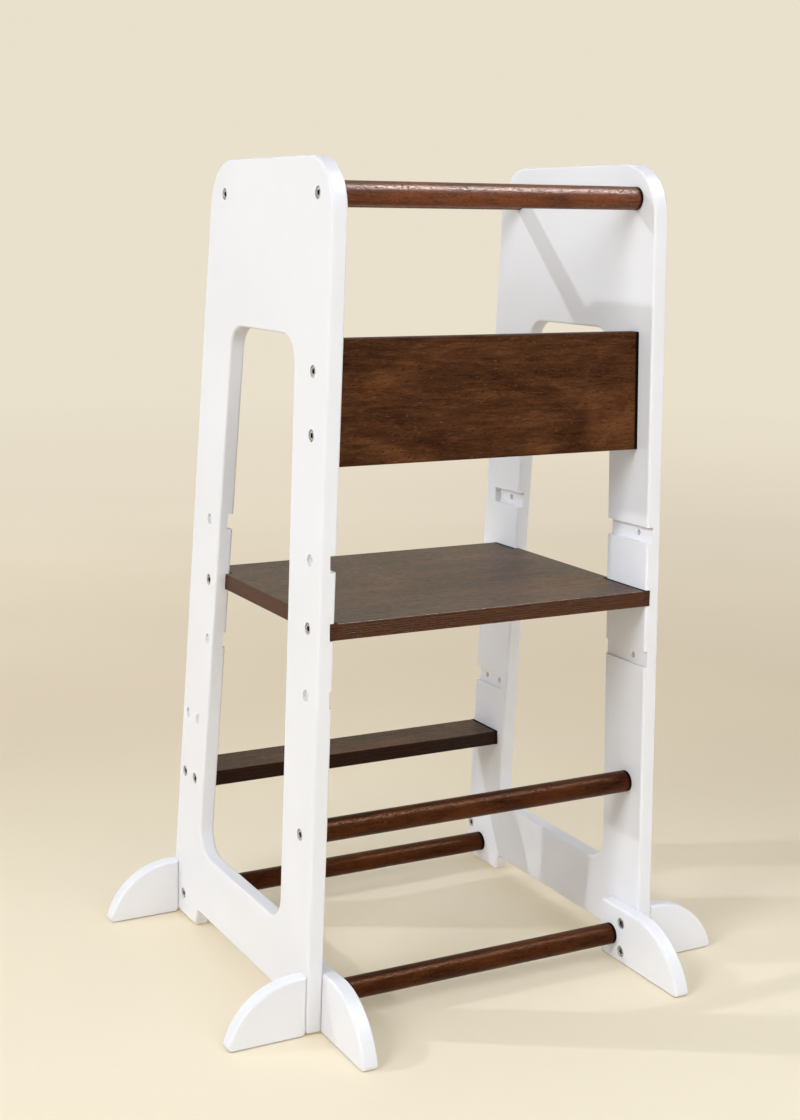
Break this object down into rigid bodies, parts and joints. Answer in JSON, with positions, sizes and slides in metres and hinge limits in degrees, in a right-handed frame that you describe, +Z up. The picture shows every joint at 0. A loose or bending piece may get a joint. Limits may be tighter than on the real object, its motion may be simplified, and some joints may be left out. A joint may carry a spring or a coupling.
{
  "type": "toddler kitchen helper stool",
  "caption": "Free-standing helper tower for a toddler: leaning white panels with windows, dark wood rails, guard board, height-adjustable platform and rear step.",
  "frame": {"origin": "middle of the footprint, on the floor", "axes": "+Z up, +X along the rails, -Y towards the guard board at the front, +Y towards the step at the back"},
  "size_m": [0.6222, 0.5041, 0.9171],
  "materials": {
    "white_paint": "white satin paint on plywood",
    "walnut_stain": "dark walnut stain, satin varnish",
    "bolt_steel": "black oxide",
    "insert_brass": "plain"
  },
  "bodies": {
    "root": {"side_panel_left": "white_paint", "side_panel_right": "white_paint", "toe_left": "white_paint", "toe_right": "white_paint", "front_outrigger_left": "white_paint", "front_outrigger_right": "white_paint", "rear_outrigger_left": "white_paint", "rear_outrigger_right": "white_paint", "guard_board": "walnut_stain", "platform": "walnut_stain", "step": "walnut_stain", "top_front_rail": "walnut_stain", "top_rear_rail": "walnut_stain", "lower_front_rail": "walnut_stain", "bottom_front_rail": "walnut_stain", "bottom_rear_rail": "walnut_stain", "top_rail_bolts": "bolt_steel", "lower_rail_bolts": "bolt_steel", "bottom_front_rail_bolts": "bolt_steel", "bottom_rear_rail_bolts": "bolt_steel", "guard_bolts": "bolt_steel", "platform_bolts": "bolt_steel", "step_bolts": "bolt_steel", "front_foot_bolts": "bolt_steel", "rear_foot_bolts": "bolt_steel", "top_rail_inserts": "insert_brass", "lower_rail_inserts": "insert_brass", "bottom_rail_inserts": "insert_brass", "guard_inserts": "insert_brass", "platform_inserts": "insert_brass", "step_inserts": "insert_brass", "foot_inserts": "insert_brass"}
  },
  "joints": []
}
